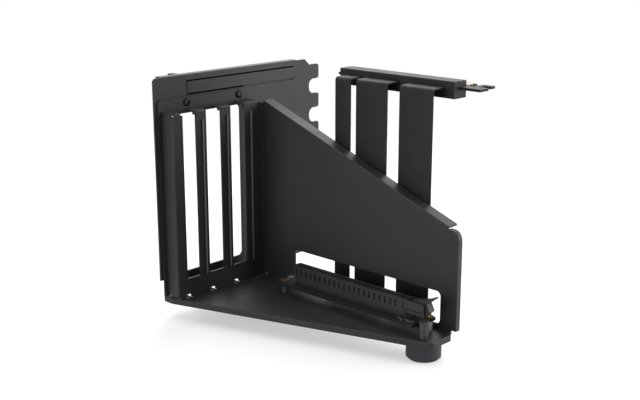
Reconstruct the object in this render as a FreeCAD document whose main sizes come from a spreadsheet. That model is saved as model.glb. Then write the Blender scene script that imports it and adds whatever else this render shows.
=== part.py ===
"""Upright graphics card bracket: a rear slot plate, a folded sheet, and a riser with its socket and plug.

Millimetres. The origin lies on the rear plate's outer face, level with the middle one of its slot tabs and
in line with the card panel's front face. +X runs along the card, away from the rear plate, +Y runs away
from the card, and +Z is up.
"""
import FreeCAD, Part
import os
import re
import Sketcher
from FreeCAD import Placement, Rotation, Vector

doc = FreeCAD.newDocument("graphics_card_bracket")

# Driving dimensions: name, size, what it is.
SIZES = [
    ("slot_pitch", 20.32, "distance from one expansion slot to the next"),
    ("sheet_thick", 1.2, "folded bracket sheet"),
    ("plate_thick", 1.2, "rear plate sheet"),
    ("bend_inner", 0.2, "inner radius of the folds"),
    ("bend_outer", 0.8, "outer radius of the folds, which are pressed sharp"),
    ("fold_relief", 1.6, "corner relief where two folds would meet"),
    ("touch_gap", 0.3, "gap between sheet edges that butt"),
    ("tab_count", 7, "slot tabs on the rear plate"),
    ("tab_tall", 10.1, "height of a slot tab"),
    ("tab_reach", 9.75, "length of a slot tab"),
    ("tab_round", 2.0, "corner radius of a slot tab"),
    ("notch_round", 4.5, "radius in the notches between slot tabs"),
    ("plate_past", 4.35, "rear plate, reach past the slot frame's side wall"),
    ("plate_right", 57.1, "rear plate, origin to the foot of its tabs"),
    ("plate_top", 70.5, "rear plate, origin to its top edge"),
    ("plate_bottom", 68.3, "rear plate, origin to its bottom edge"),
    ("plate_corner_cut", 4.1, "cut across the rear plate's top right corner"),
    ("plate_left_cut", 1.5, "cut across the rear plate's top left corner"),
    ("column_foot", 58.3, "rear plate, origin down to the end of its left column"),
    ("opening_in", 2.9, "port opening, slot frame's side wall to its left edge"),
    ("opening_right", 8.15, "port opening, origin to its right edge"),
    ("opening_top", 46.4, "port opening, origin to its top edge"),
    ("opening_bottom", 56.7, "port opening, origin to its bottom edge"),
    ("opening_round", 3.0, "port opening, corner radius"),
    ("strip_in", 25.75, "pressed strip, rear plate's left edge to its left end"),
    ("strip_right", 41.7, "pressed strip, origin to its right end"),
    ("strip_top", 66.8, "pressed strip, origin to its top edge"),
    ("strip_tall", 9.3, "pressed strip, height"),
    ("strip_groove", 1.0, "width of the grooves along the pressed strip"),
    ("strip_end_groove", 0.5, "width of the groove at the pressed strip's left end"),
    ("strip_groove_deep", 0.85, "depth of the grooves round the pressed strip"),
    ("hook_flange_deep", 4.2, "depth of the rear plate's top flange"),
    ("hook_flange_in", 6.05, "rear plate's left edge to the top flange's left end"),
    ("hook_flange_right", 44.7, "rear plate's top flange, origin to its right end"),
    ("top_step", 0.4, "drop of the rear plate's top edge beside its flange"),
    ("hook_deep", 5.8, "reach of the hook beyond the top flange"),
    ("hook_in", 20.25, "hook, rear plate's left edge to its left side"),
    ("hook_wide", 4.0, "hook width"),
    ("frame_deep", 12.0, "rear plate's inner face to the slot frame's front face"),
    ("slot_side", 12.15, "slot frame, its side wall to the middle of the first slot window"),
    ("slot_panel", 21.11, "slot frame, middle of the last slot window to the card panel"),
    ("shelf_top", 49.4, "slot frame, origin to the top of its shelf"),
    ("shelf_strip", 3.3, "strip of the shelf left behind each slot window"),
    ("side_foot", 67.6, "slot frame, origin down to the end of its side wall"),
    ("clamp_top", 56.9, "clamp flange on the rear plate, origin to its top edge"),
    ("clamp_right", 3.4, "clamp flange, origin to its right end"),
    ("flange_past", 2.3, "side flange on the rear plate, reach past the side wall"),
    ("flange_foot", 69.2, "side flange on the rear plate, origin down to its bottom edge"),
    ("clamp_round", 3.0, "clamp flange, corner radius"),
    ("slot_count", 3, "slot windows in the frame"),
    ("window_wide", 12.1, "slot window width"),
    ("window_bottom", 57.0, "slot window, origin to its bottom edge"),
    ("window_round", 0.8, "slot window, radius of its lower corners"),
    ("hem_wide", 2.6, "folded hem behind the first window's outer edge, width that shows"),
    ("hem_past", 0.7, "reach of that hem past the window's lower end"),
    ("hem_top", 47.4, "origin up to the hem's top end"),
    ("ridge_wide", 1.7, "guide ridge width"),
    ("ridge_tall", 1.2, "guide ridge height"),
    ("ridge_crest", 0.75, "guide ridge, radius along its crest"),
    ("ridge_shift", 1.0, "guide ridge, distance from the middle of its bar"),
    ("ridge_top", 43.6, "guide ridge, origin to its top end"),
    ("collar_in", 7.8, "rear plate's inner face to the card screws"),
    ("collar_radius", 2.7, "outer radius of a card screw collar"),
    ("collar_deep", 1.8, "reach of a card screw collar below the shelf"),
    ("card_thread_radius", 1.4, "card screw thread, core radius"),
    ("tongue_in", 6.0, "first tongue hole, slot frame's side wall to its left edge"),
    ("tongue_wide", 4.5, "tongue hole width in the frame"),
    ("tongue_tall", 2.7, "tongue notch height in the frame's bottom edge"),
    ("tongue_floor_shift", 4.8, "left edge of a tongue hole in the frame to that in the base"),
    ("tongue_floor_wide", 7.9, "tongue hole width in the base"),
    ("tongue_floor_deep", 7.8, "tongue hole in the base, reach behind the frame's front face"),
    ("tongue_floor_past", 0.3, "tongue hole in the base, reach past the frame's front face"),
    ("panel_past", 24.5, "card panel, card socket's end to the panel's right edge"),
    ("panel_high", 50.2, "card panel, height of its sloping top edge at the slot frame"),
    ("return_deep", 3.6, "depth of the return along the card panel's right edge"),
    ("panel_slope", 0.3667, "fall of the card panel's top edge for each millimetre along"),
    ("panel_round", 6.0, "card panel, corner radius"),
    ("brim_wide", 8.55, "brim folded back along the sloping top edge"),
    ("brim_start", 15.0, "brim, origin to its left end"),
    ("brim_past", 16.6, "brim, card socket's end to the brim's right end"),
    ("cable_before", 16.3, "cable window, its left edge to the card socket's start"),
    ("cable_past", 12.8, "cable window, card socket's end to its right edge"),
    ("cable_top", 46.2, "cable window, origin to its top edge"),
    ("cable_bottom", 66.3, "cable window, origin to its bottom edge"),
    ("cable_round", 3.0, "cable window, corner radius"),
    ("base_top", 69.8, "base, origin down to its upper face"),
    ("base_back", 1.5, "base, reach behind the rear plate's outer face"),
    ("base_nose", 5.8, "base, origin to the start of its sloping front edge"),
    ("base_front", 19.65, "base, origin to the front end of its right edge"),
    ("base_past", 22.3, "base, card socket's end to the base's right edge"),
    ("base_round", 5.0, "base, radius of its right corner"),
    ("base_bend_round", 10.0, "base, radius where its side turns into the sloping front edge"),
    ("lip_deep", 3.8, "height of the base's turned-down lip"),
    ("foot_radius", 10.4, "rubber foot radius"),
    ("foot_tall", 13.3, "rubber foot height"),
    ("foot_round", 1.2, "rubber foot, edge radius"),
    ("foot_well_radius", 4.2, "rubber foot, screw head well radius"),
    ("foot_well_deep", 6.0, "rubber foot, screw head well depth"),
    ("screw_head_radius", 2.5, "pan head screw, head radius"),
    ("screw_head_tall", 1.6, "pan head screw, head height"),
    ("screw_head_edge", 0.9, "pan head screw, height of the head's upright edge"),
    ("screw_head_crown", 1.55, "pan head screw, radius of the head's flat top"),
    ("screw_cross_wide", 0.8, "pan head screw, width of its cross recess"),
    ("screw_cross_long", 2.8, "pan head screw, length of its cross recess"),
    ("screw_cross_deep", 0.9, "pan head screw, depth of its cross recess"),
    ("screw_shank_radius", 1.45, "pan head screw, shank radius"),
    ("screw_gap", 0.05, "gap between a screw shank and its hole"),
    ("board_bite", 4.2, "length of the board screw within its standoff"),
    ("clamp_screw_in", 20.4, "first clamp screw, slot frame's side wall to its axis"),
    ("clamp_screw_right", 9.85, "second clamp screw, origin to its axis"),
    ("clamp_screw_up", 53.5, "clamp screws, origin up to their axes"),
    ("board_thick", 1.6, "socket board thickness"),
    ("board_lift", 6.9, "base to the underside of the socket board"),
    ("board_front", 22.3, "socket board, card panel to its front edge"),
    ("board_back", 1.9, "socket board, card panel to its back edge"),
    ("board_past", 10.0, "socket board, card socket's end to the right end of the board's front edge"),
    ("board_round", 4.6, "socket board, corner radius at its left end"),
    ("board_tab", 3.3, "socket board, reach of its right end past its screw"),
    ("board_tab_round", 2.0, "socket board, corner radius of that end"),
    ("stud_before", 9.4, "left standoff, its axis to the card socket's start"),
    ("stud_past", 13.9, "right post, card socket's end to its axis"),
    ("stud_across", 16.5, "left standoff and right post, card panel to their axes"),
    ("stud_left_radius", 1.75, "left standoff radius"),
    ("stud_right_radius", 3.1, "right post radius"),
    ("post_tall", 10.8, "right post, base to its top"),
    ("pin_radius", 1.4, "pin of the left standoff, radius"),
    ("pin_proud", 0.5, "pin of the left standoff, reach above the board"),
    ("foot_past", 9.5, "rubber foot, card socket's end to its axis"),
    ("foot_across", 10.5, "rubber foot, card panel to its axis"),
    ("stud_back_past", 8.9, "back standoff, card socket's end to its axis"),
    ("stud_back_across", 5.3, "back standoff, card panel to its axis"),
    ("stud_back_radius", 2.4, "back standoff radius"),
    ("spigot_radius", 1.7, "spigot of a standoff within the base"),
    ("pad_radius", 2.9, "copper ring round the standoff's pin, outer radius"),
    ("pad_thick", 0.15, "thickness of that ring"),
    ("peg_before", 9.6, "small ring on the board, its axis to the card socket's start"),
    ("peg_across", 10.7, "small ring on the board, card panel to its axis"),
    ("peg_radius", 1.7, "small ring on the board, outer radius"),
    ("peg_hole_radius", 0.9, "small ring on the board, hole radius"),
    ("peg_tall", 0.6, "small ring on the board, height"),
    ("socket_left", 59.3, "card socket, origin to its left end"),
    ("socket_long", 90.1, "card socket length"),
    ("socket_wide", 7.5, "card socket width"),
    ("socket_tall", 11.25, "card socket height"),
    ("socket_across", 12.5, "card socket, card panel to its middle"),
    ("socket_slit_wide", 1.9, "card slit width"),
    ("socket_slit_deep", 8.4, "card slit depth"),
    ("socket_wall_end", 1.3, "card socket, end wall of the slit"),
    ("socket_brow", 2.6, "card socket, reach of its upper left end past the block"),
    ("socket_brow_tall", 4.0, "card socket, height of that upper end"),
    ("socket_end_round", 1.2, "card socket, corner radius of its left end"),
    ("key_from_left", 15.2, "card socket, left end to its key"),
    ("key_long", 1.7, "card socket key length"),
    ("rib_count", 21, "grooves along the socket's side"),
    ("rib_pitch", 4.05, "distance from one groove to the next"),
    ("rib_first", 0.9, "socket's left end to the first groove"),
    ("rib_wide", 1.6, "groove width"),
    ("rib_tall", 4.2, "groove height"),
    ("rib_deep", 0.7, "groove depth"),
    ("rib_drop", 1.4, "socket's top to the grooves"),
    ("housing_past", 13.1, "card socket's end to the end of its latch housing"),
    ("housing_low", 3.8, "board to the underside of the latch housing"),
    ("housing_round", 1.0, "latch housing, radius of its upper end"),
    ("housing_in", 0.6, "card socket's end to the space for the latch"),
    ("seam_in", 2.4, "latch housing's seam, its left end to the card socket's end"),
    ("seam_wide", 0.6, "latch housing's seam, width"),
    ("seam_deep", 0.5, "latch housing's seam, depth"),
    ("seam_low", 5.6, "board to the lower seam"),
    ("yoke_wall", 1.1, "latch housing, thickness of its walls"),
    ("pivot_along", 9.0, "socket's end to the latch pivot"),
    ("pivot_up", 6.3, "board to the latch pivot"),
    ("pivot_radius", 0.9, "latch trunnion radius"),
    ("pivot_gap", 0.08, "gap round the latch trunnions"),
    ("pivot_skin", 0.4, "latch housing, wall left over the ends of the trunnions"),
    ("latch_low", 2.2, "latch, pivot down to its underside"),
    ("latch_heel", 2.4, "latch, pivot back to its heel"),
    ("latch_heel_up", 3.0, "latch, pivot up to the top of its heel"),
    ("latch_toe", 4.0, "latch, pivot along to the end of its underside"),
    ("latch_belly", 7.6, "latch, pivot along to its thumb rest"),
    ("latch_belly_up", 1.0, "latch, pivot up to its thumb rest"),
    ("latch_neck", 5.3, "latch, pivot along to its neck"),
    ("latch_neck_up", 5.6, "latch, pivot up to its neck"),
    ("latch_crown", 4.5, "latch, pivot along to the foot of its lever"),
    ("latch_crown_up", 7.7, "latch, pivot up to the foot of its lever"),
    ("latch_nose", 6.0, "latch, pivot back to its card catch"),
    ("latch_nose_up", 5.3, "latch, pivot up to its card catch"),
    ("latch_nose_tall", 1.5, "latch, height of its card catch"),
    ("lever_thick", 1.0, "latch, thickness of its lever at the tip"),
    ("latch_side_gap", 0.35, "gap between the latch and the yoke ears"),
    ("latch_tall", 10.3, "latch, pivot up to the tip of its lever"),
    ("latch_lever", 9.9, "latch, pivot along to the tip of its lever"),
    ("ribbon_thick", 1.0, "riser ribbon thickness"),
    ("ribbon_in", 10.3, "first ribbon, card socket's start to its left edge"),
    ("ribbon_one", 12.85, "first ribbon width"),
    ("ribbon_gap_one", 4.3, "gap between the first and second ribbons"),
    ("ribbon_two", 24.9, "second ribbon width"),
    ("ribbon_gap_two", 9.1, "gap between the second and third ribbons"),
    ("ribbon_three", 24.9, "third ribbon width"),
    ("ribbon_behind", 9.95, "card panel to the middle of the upright ribbons"),
    ("ribbon_bend", 2.2, "bend radius at the middle of a ribbon"),
    ("plug_in", 4.4, "riser plug, card socket's start to the plug's left end"),
    ("plug_long", 88.5, "riser plug length"),
    ("plug_front", 20.75, "riser plug, card panel to its front face"),
    ("plug_deep", 11.5, "riser plug depth"),
    ("plug_up", 4.2, "riser plug, height above the middle of its board"),
    ("plug_down", 6.0, "riser plug, depth below the middle of its board"),
    ("plug_round", 0.6, "riser plug, edge radius"),
    ("plug_middle", 69.0, "origin up to the middle of the plug's edge board"),
    ("plug_slot_gap", 0.1, "gap round the ribbons and the board in the plug"),
    ("edge_thick", 1.57, "edge board thickness"),
    ("edge_front", 4.0, "plug's front face to the edge board"),
    ("edge_left", 5.0, "edge board, reach past the plug's left end"),
    ("edge_right", 15.0, "edge board, reach past the plug's right end"),
    ("edge_body", 8.5, "edge board, depth of its body"),
    ("blade_out", 9.5, "edge board, reach of its contact blade"),
    ("blade_in", 3.8, "contact blade, plug's left end to its own left end"),
    ("blade_key", 11.65, "contact blade, left end to its key slot"),
    ("blade_key_wide", 1.9, "key slot width"),
    ("blade_long", 85.2, "contact blade length"),
    ("blade_hook_gap", 4.2, "contact blade's end to the card hook"),
    ("blade_hook_long", 8.2, "card hook length"),
    ("blade_hook_wide", 4.2, "card hook width"),
    ("blade_hook_neck", 3.6, "card hook, width of its neck"),
    ("finger_pitch", 1.0, "distance from one gold finger to the next"),
    ("finger_wide", 0.7, "gold finger width"),
    ("finger_long", 5.0, "gold finger length"),
    ("finger_thick", 0.05, "gold finger thickness"),
    ("finger_margin", 0.8, "contact blade's edge to its first finger"),
    ("finger_inset", 1.2, "contact blade's edge to the fingers' ends"),
    ("finger_key_gap", 0.2, "least gap between a finger and the key slot"),
]

sheet = doc.addObject("Spreadsheet::Sheet", "dims")
for row, (alias, size, note) in enumerate(SIZES, start=1):
    sheet.set(f"A{row}", note)
    sheet.set(f"B{row}", str(size))
    sheet.setAlias(f"B{row}", alias)
doc.recompute()
ALIASES = {alias for alias, size, note in SIZES}

# Places worked out from the driving dimensions, used by name as they are.
PLACES = {
    "frame_side": "slot_side + (slot_count - 1) * slot_pitch + slot_panel",
    "plate_left": "frame_side + plate_past",
    "flange_left": "frame_side + flange_past",
    "hook_flange_left": "plate_left - hook_flange_in",
    "opening_left": "frame_side - opening_in",
    "clamp_screw_left": "frame_side - clamp_screw_in",
    "hook_left": "plate_left - hook_in",
    "strip_left": "plate_left - strip_in",
    "socket_right": "socket_left + socket_long",
    "base_right": "socket_right + base_past",
    "panel_right": "socket_right + panel_past",
    "brim_end": "socket_right + brim_past",
    "cable_left": "socket_left - cable_before",
    "cable_right": "socket_right + cable_past",
    "board_front_end": "socket_right + board_past",
    "stud_left": "socket_left - stud_before",
    "stud_right": "socket_right + stud_past",
    "stud_back": "socket_right + stud_back_past",
    "foot_along": "socket_right + foot_past",
    "peg_along": "socket_left - peg_before",
    "ribbon_left": "socket_left + ribbon_in",
    "plug_left": "socket_left + plug_in",
    "blade_left": "plug_left + blade_in",
}

# Places that several pieces share, as formulas of those names.
FRAME_FRONT = "(plate_thick + frame_deep)"
FRAME_BACK = f"({FRAME_FRONT} - sheet_thick)"
FRAME_FOOT = "(touch_gap - base_top)"
SHELF_UNDER = "(shelf_top - sheet_thick)"
SLANT = "sqrt(1 + panel_slope * panel_slope)"
BASE_SLOPE = "((frame_side - base_front) / (base_right - base_nose))"
BASE_SLANT = f"sqrt(1 + {BASE_SLOPE} * {BASE_SLOPE})"
BASE_UNDER = "(-base_top - sheet_thick)"
BOARD_UNDER = "(board_lift - base_top)"
BOARD_TOP = f"({BOARD_UNDER} + board_thick)"
SOCKET_TOP = f"({BOARD_TOP} + socket_tall)"
PIVOT_X = "(socket_right + pivot_along)"
PIVOT_Z = f"({BOARD_TOP} + pivot_up)"
SCREW_HOLE = "(screw_shank_radius + screw_gap)"
SPAN = 1.0  # how far a cut runs past the solid it opens
PLUG_RIGHT = "(plug_left + plug_long)"
PLUG_BACK = "(plug_front + plug_deep)"
EDGE_FRONT = "(plug_front + edge_front)"
EDGE_BACK = f"({EDGE_FRONT} + edge_body)"
BLADE_TIP = f"({EDGE_BACK} + blade_out)"


def formula(text):
    """The text with each place worked out and each dimension's name made a reference into the sheet."""
    def spell(match):
        name = match[0]
        if name in PLACES:
            return f"({formula(PLACES[name])})"
        return f"dims.{name}" if name in ALIASES else name
    return re.sub(r"[a-z][a-z0-9_]*", spell, str(text))


def measure(text):
    return float(sheet.evalExpression(formula(text)))


def bind(thing, path, text):
    thing.setExpression(path, formula(text))


def origin_plane(body, role):
    return next(f for f in body.Origin.OriginFeatures if f.Role == role)


def new_body(label):
    body = doc.addObject("PartDesign::Body", label)
    body.Label = label
    return body


def new_sketch(body, name, role, lift):
    """An empty sketch on one of the body's origin planes, lifted along the plane's normal."""
    sketch = body.newObject("Sketcher::SketchObject", f"{body.Name}_{name}")
    sketch.AttachmentSupport = [(origin_plane(body, role), "")]
    sketch.MapMode = "FlatFace"
    bind(sketch, "AttachmentOffset.Base.z", lift)
    return sketch


def pin_point(sketch, geometry, end, spot):
    """Holds a point of the sketch at a spot given by two formulas."""
    for kind, text in zip(("DistanceX", "DistanceY"), spot):
        index = sketch.addConstraint(Sketcher.Constraint(kind, -1, 1, geometry, end, measure(text)))
        name = f"{kind}_{geometry}_{end}"
        sketch.renameConstraint(index, name)
        bind(sketch, f"Constraints.{name}", text)


def draw_polygon(sketch, corners):
    first = sketch.GeometryCount
    count = len(corners)
    points = [Vector(measure(x), measure(y), 0) for x, y in corners]
    sketch.addGeometry([Part.LineSegment(points[i], points[(i + 1) % count]) for i in range(count)])
    sketch.addConstraint([
        Sketcher.Constraint("Coincident", first + (i - 1) % count, 2, first + i, 1) for i in range(count)
    ])
    for i, corner in enumerate(corners):
        pin_point(sketch, first + i, 1, corner)


def draw_circle(sketch, centre, radius):
    index = sketch.GeometryCount
    middle = Vector(measure(centre[0]), measure(centre[1]), 0)
    sketch.addGeometry(Part.Circle(middle, Vector(0, 0, 1), measure(radius)))
    pin_point(sketch, index, 3, centre)
    size = sketch.addConstraint(Sketcher.Constraint("Radius", index, measure(radius)))
    sketch.renameConstraint(size, f"Radius_{index}")
    bind(sketch, f"Constraints.Radius_{index}", radius)


def box_corners(left, right, low, high):
    return [(left, low), (right, low), (right, high), (left, high)]


def pad(body, name, role, lift, length, polygons=(), circles=(), back=False):
    """Adds the drawn outlines to the body, as a plate of the given length along the plane's normal."""
    sketch = new_sketch(body, f"{name}_sketch", role, lift)
    for corners in polygons:
        draw_polygon(sketch, corners)
    for centre, radius in circles:
        draw_circle(sketch, centre, radius)
    feature = body.newObject("PartDesign::Pad", f"{body.Name}_{name}")
    feature.Profile = sketch
    feature.Reversed = back
    bind(feature, "Length", length)
    doc.recompute()
    return feature


def pocket(body, name, role, lift, length, polygons=(), circles=(), back=False):
    """Cuts the drawn outlines out of the body, and makes sure that something was cut."""
    before = body.Tip.Shape.Volume
    sketch = new_sketch(body, f"{name}_sketch", role, lift)
    for corners in polygons:
        draw_polygon(sketch, corners)
    for centre, radius in circles:
        draw_circle(sketch, centre, radius)
    feature = body.newObject("PartDesign::Pocket", f"{body.Name}_{name}")
    feature.Profile = sketch
    feature.Reversed = back
    bind(feature, "Length", length)
    doc.recompute()
    if feature.Shape.Volume > before - 1e-6:
        raise ValueError(f"{feature.Name} cuts nothing")
    return feature


def repeat(body, feature, role, pitch, count, back=False):
    """Repeats a feature along one of the body's origin axes."""
    pattern = body.newObject("PartDesign::LinearPattern", f"{feature.Name}_row")
    pattern.Originals = [feature]
    pattern.Direction = (origin_plane(body, role), [""])
    pattern.Reversed = back
    bind(pattern, "Length", f"{pitch} * ({count} - 1)")
    bind(pattern, "Occurrences", count)
    body.Tip = pattern
    doc.recompute()
    return pattern


def edge_names(shape, lines):
    """The shape's straight edges that lie on any of the given lines, each line as two end points."""
    names = []
    for number, edge in enumerate(shape.Edges, start=1):
        if not isinstance(edge.Curve, Part.Line):
            continue
        ends = [vertex.Point for vertex in edge.Vertexes]
        for start, stop in lines:
            way = stop - start
            along = [(end - start).dot(way) / way.Length ** 2 for end in ends]
            off = [(end - start - way * share).Length for end, share in zip(ends, along)]
            if max(off) < 0.01 and min(along) > -0.01 and max(along) < 1.01:
                names.append(f"Edge{number}")
                break
    return names


def point(spot):
    return Vector(*(measure(text) for text in spot))


def fillet(body, name, lines, radius):
    """Rounds the body's edges on the given lines."""
    feature = body.newObject("PartDesign::Fillet", f"{body.Name}_{name}")
    base = feature.BaseFeature or body.Tip
    names = edge_names(base.Shape, [(point(a), point(b)) for a, b in lines])
    if len(names) < len(lines):
        raise ValueError(f"{feature.Name} found {len(names)} edges for {len(lines)} lines")
    feature.Base = (base, names)
    bind(feature, "Radius", radius)
    doc.recompute()
    return feature


def upright_lines(spots, low, high):
    return [((x, y, low), (x, y, high)) for x, y in spots]


def through_lines(spots, low, high):
    """Lines along X through spots given as Y and Z."""
    return [((low, y, z), (high, y, z)) for y, z in spots]


def across_lines(spots, low, high):
    """Lines along Y through spots given as X and Z."""
    return [((x, low, z), (x, high, z)) for x, z in spots]


def slot_middle(number):
    return f"({number} * slot_pitch + slot_side - frame_side)"


def make_rear_plate():
    body = new_body("rear_plate")
    left, right, top = "-plate_left", "plate_right", "plate_top"
    low_top = "(plate_top - top_step)"
    outline = [
        (left, f"{low_top} - plate_left_cut"), (left, "-column_foot"), ("-frame_side", "-column_foot"),
        ("-frame_side", "-plate_bottom"), (right, "-plate_bottom"), (right, f"{top} - plate_corner_cut"),
        (f"{right} - plate_corner_cut", low_top), ("hook_flange_right", low_top), ("hook_flange_right", top),
        ("-hook_flange_left", top), ("-hook_flange_left", low_top), (f"{left} + plate_left_cut", low_top),
    ]
    opening = box_corners("-opening_left", "-opening_right", "-opening_bottom", "opening_top")
    pad(body, "sheet", "YZ_Plane", "0", "plate_thick", [outline, opening])
    count = int(measure("tab_count"))
    middles = [f"({(count - 1) / 2 - k} * slot_pitch)" for k in range(count)]
    tabs = [
        box_corners(f"{right} - plate_thick", f"{right} + tab_reach",
                    f"{z} - tab_tall / 2", f"{z} + tab_tall / 2")
        for z in middles
    ]
    pad(body, "tabs", "YZ_Plane", "0", "plate_thick", tabs)
    tips = [(f"{right} + tab_reach", f"{z} {side} tab_tall / 2") for z in middles for side in "+-"]
    fillet(body, "tab_corners", through_lines(tips, "0", "plate_thick"), "tab_round")
    roots = [(right, f"{z} {side} tab_tall / 2") for z in middles for side in "+-"][1:-1]
    fillet(body, "tab_notches", through_lines(roots, "0", "plate_thick"), "notch_round")
    fillet(body, "opening_corners", through_lines(opening, "0", "plate_thick"), "opening_round")
    shelf = box_corners("-hook_flange_deep", "plate_thick", "-hook_flange_left", "hook_flange_right")
    hook = box_corners("-hook_flange_deep - hook_deep", "0", "-hook_left", "hook_wide - hook_left")
    pad(body, "top_flange", "XY_Plane", "plate_top", "plate_thick", [shelf], back=True)
    pad(body, "hook", "XY_Plane", "plate_top", "plate_thick", [hook], back=True)
    fold = (("plate_thick", "-hook_flange_left", top), ("plate_thick", "hook_flange_right", top))
    fillet(body, "top_fold", [fold], "bend_outer")

    # Grooves round the pressed strip, and the holes for the clamp screws.
    low = "(strip_top - strip_tall)"
    high = "(strip_top - strip_groove)"
    grooves = [
        box_corners("-strip_left", "strip_right", high, "strip_top"),
        box_corners("-strip_left", "strip_right", low, f"{low} + strip_groove"),
    ]
    pocket(body, "strip_grooves", "YZ_Plane", "plate_thick", "strip_groove_deep", grooves)
    end = box_corners("-strip_left", "strip_end_groove - strip_left", low, "strip_top")
    pocket(body, "strip_end", "YZ_Plane", "plate_thick", "strip_groove_deep", [end])
    holes = [((f"-{place}", "clamp_screw_up"), SCREW_HOLE)
             for place in ("clamp_screw_left", "clamp_screw_right")]
    pocket(body, "screw_holes", "YZ_Plane", "plate_thick", "plate_thick", circles=holes)
    return body


def panel_edge(x):
    """Height of the card panel's sloping top edge at a distance along it."""
    return f"(panel_high - panel_slope * ({x} - {FRAME_FRONT}))"


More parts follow.
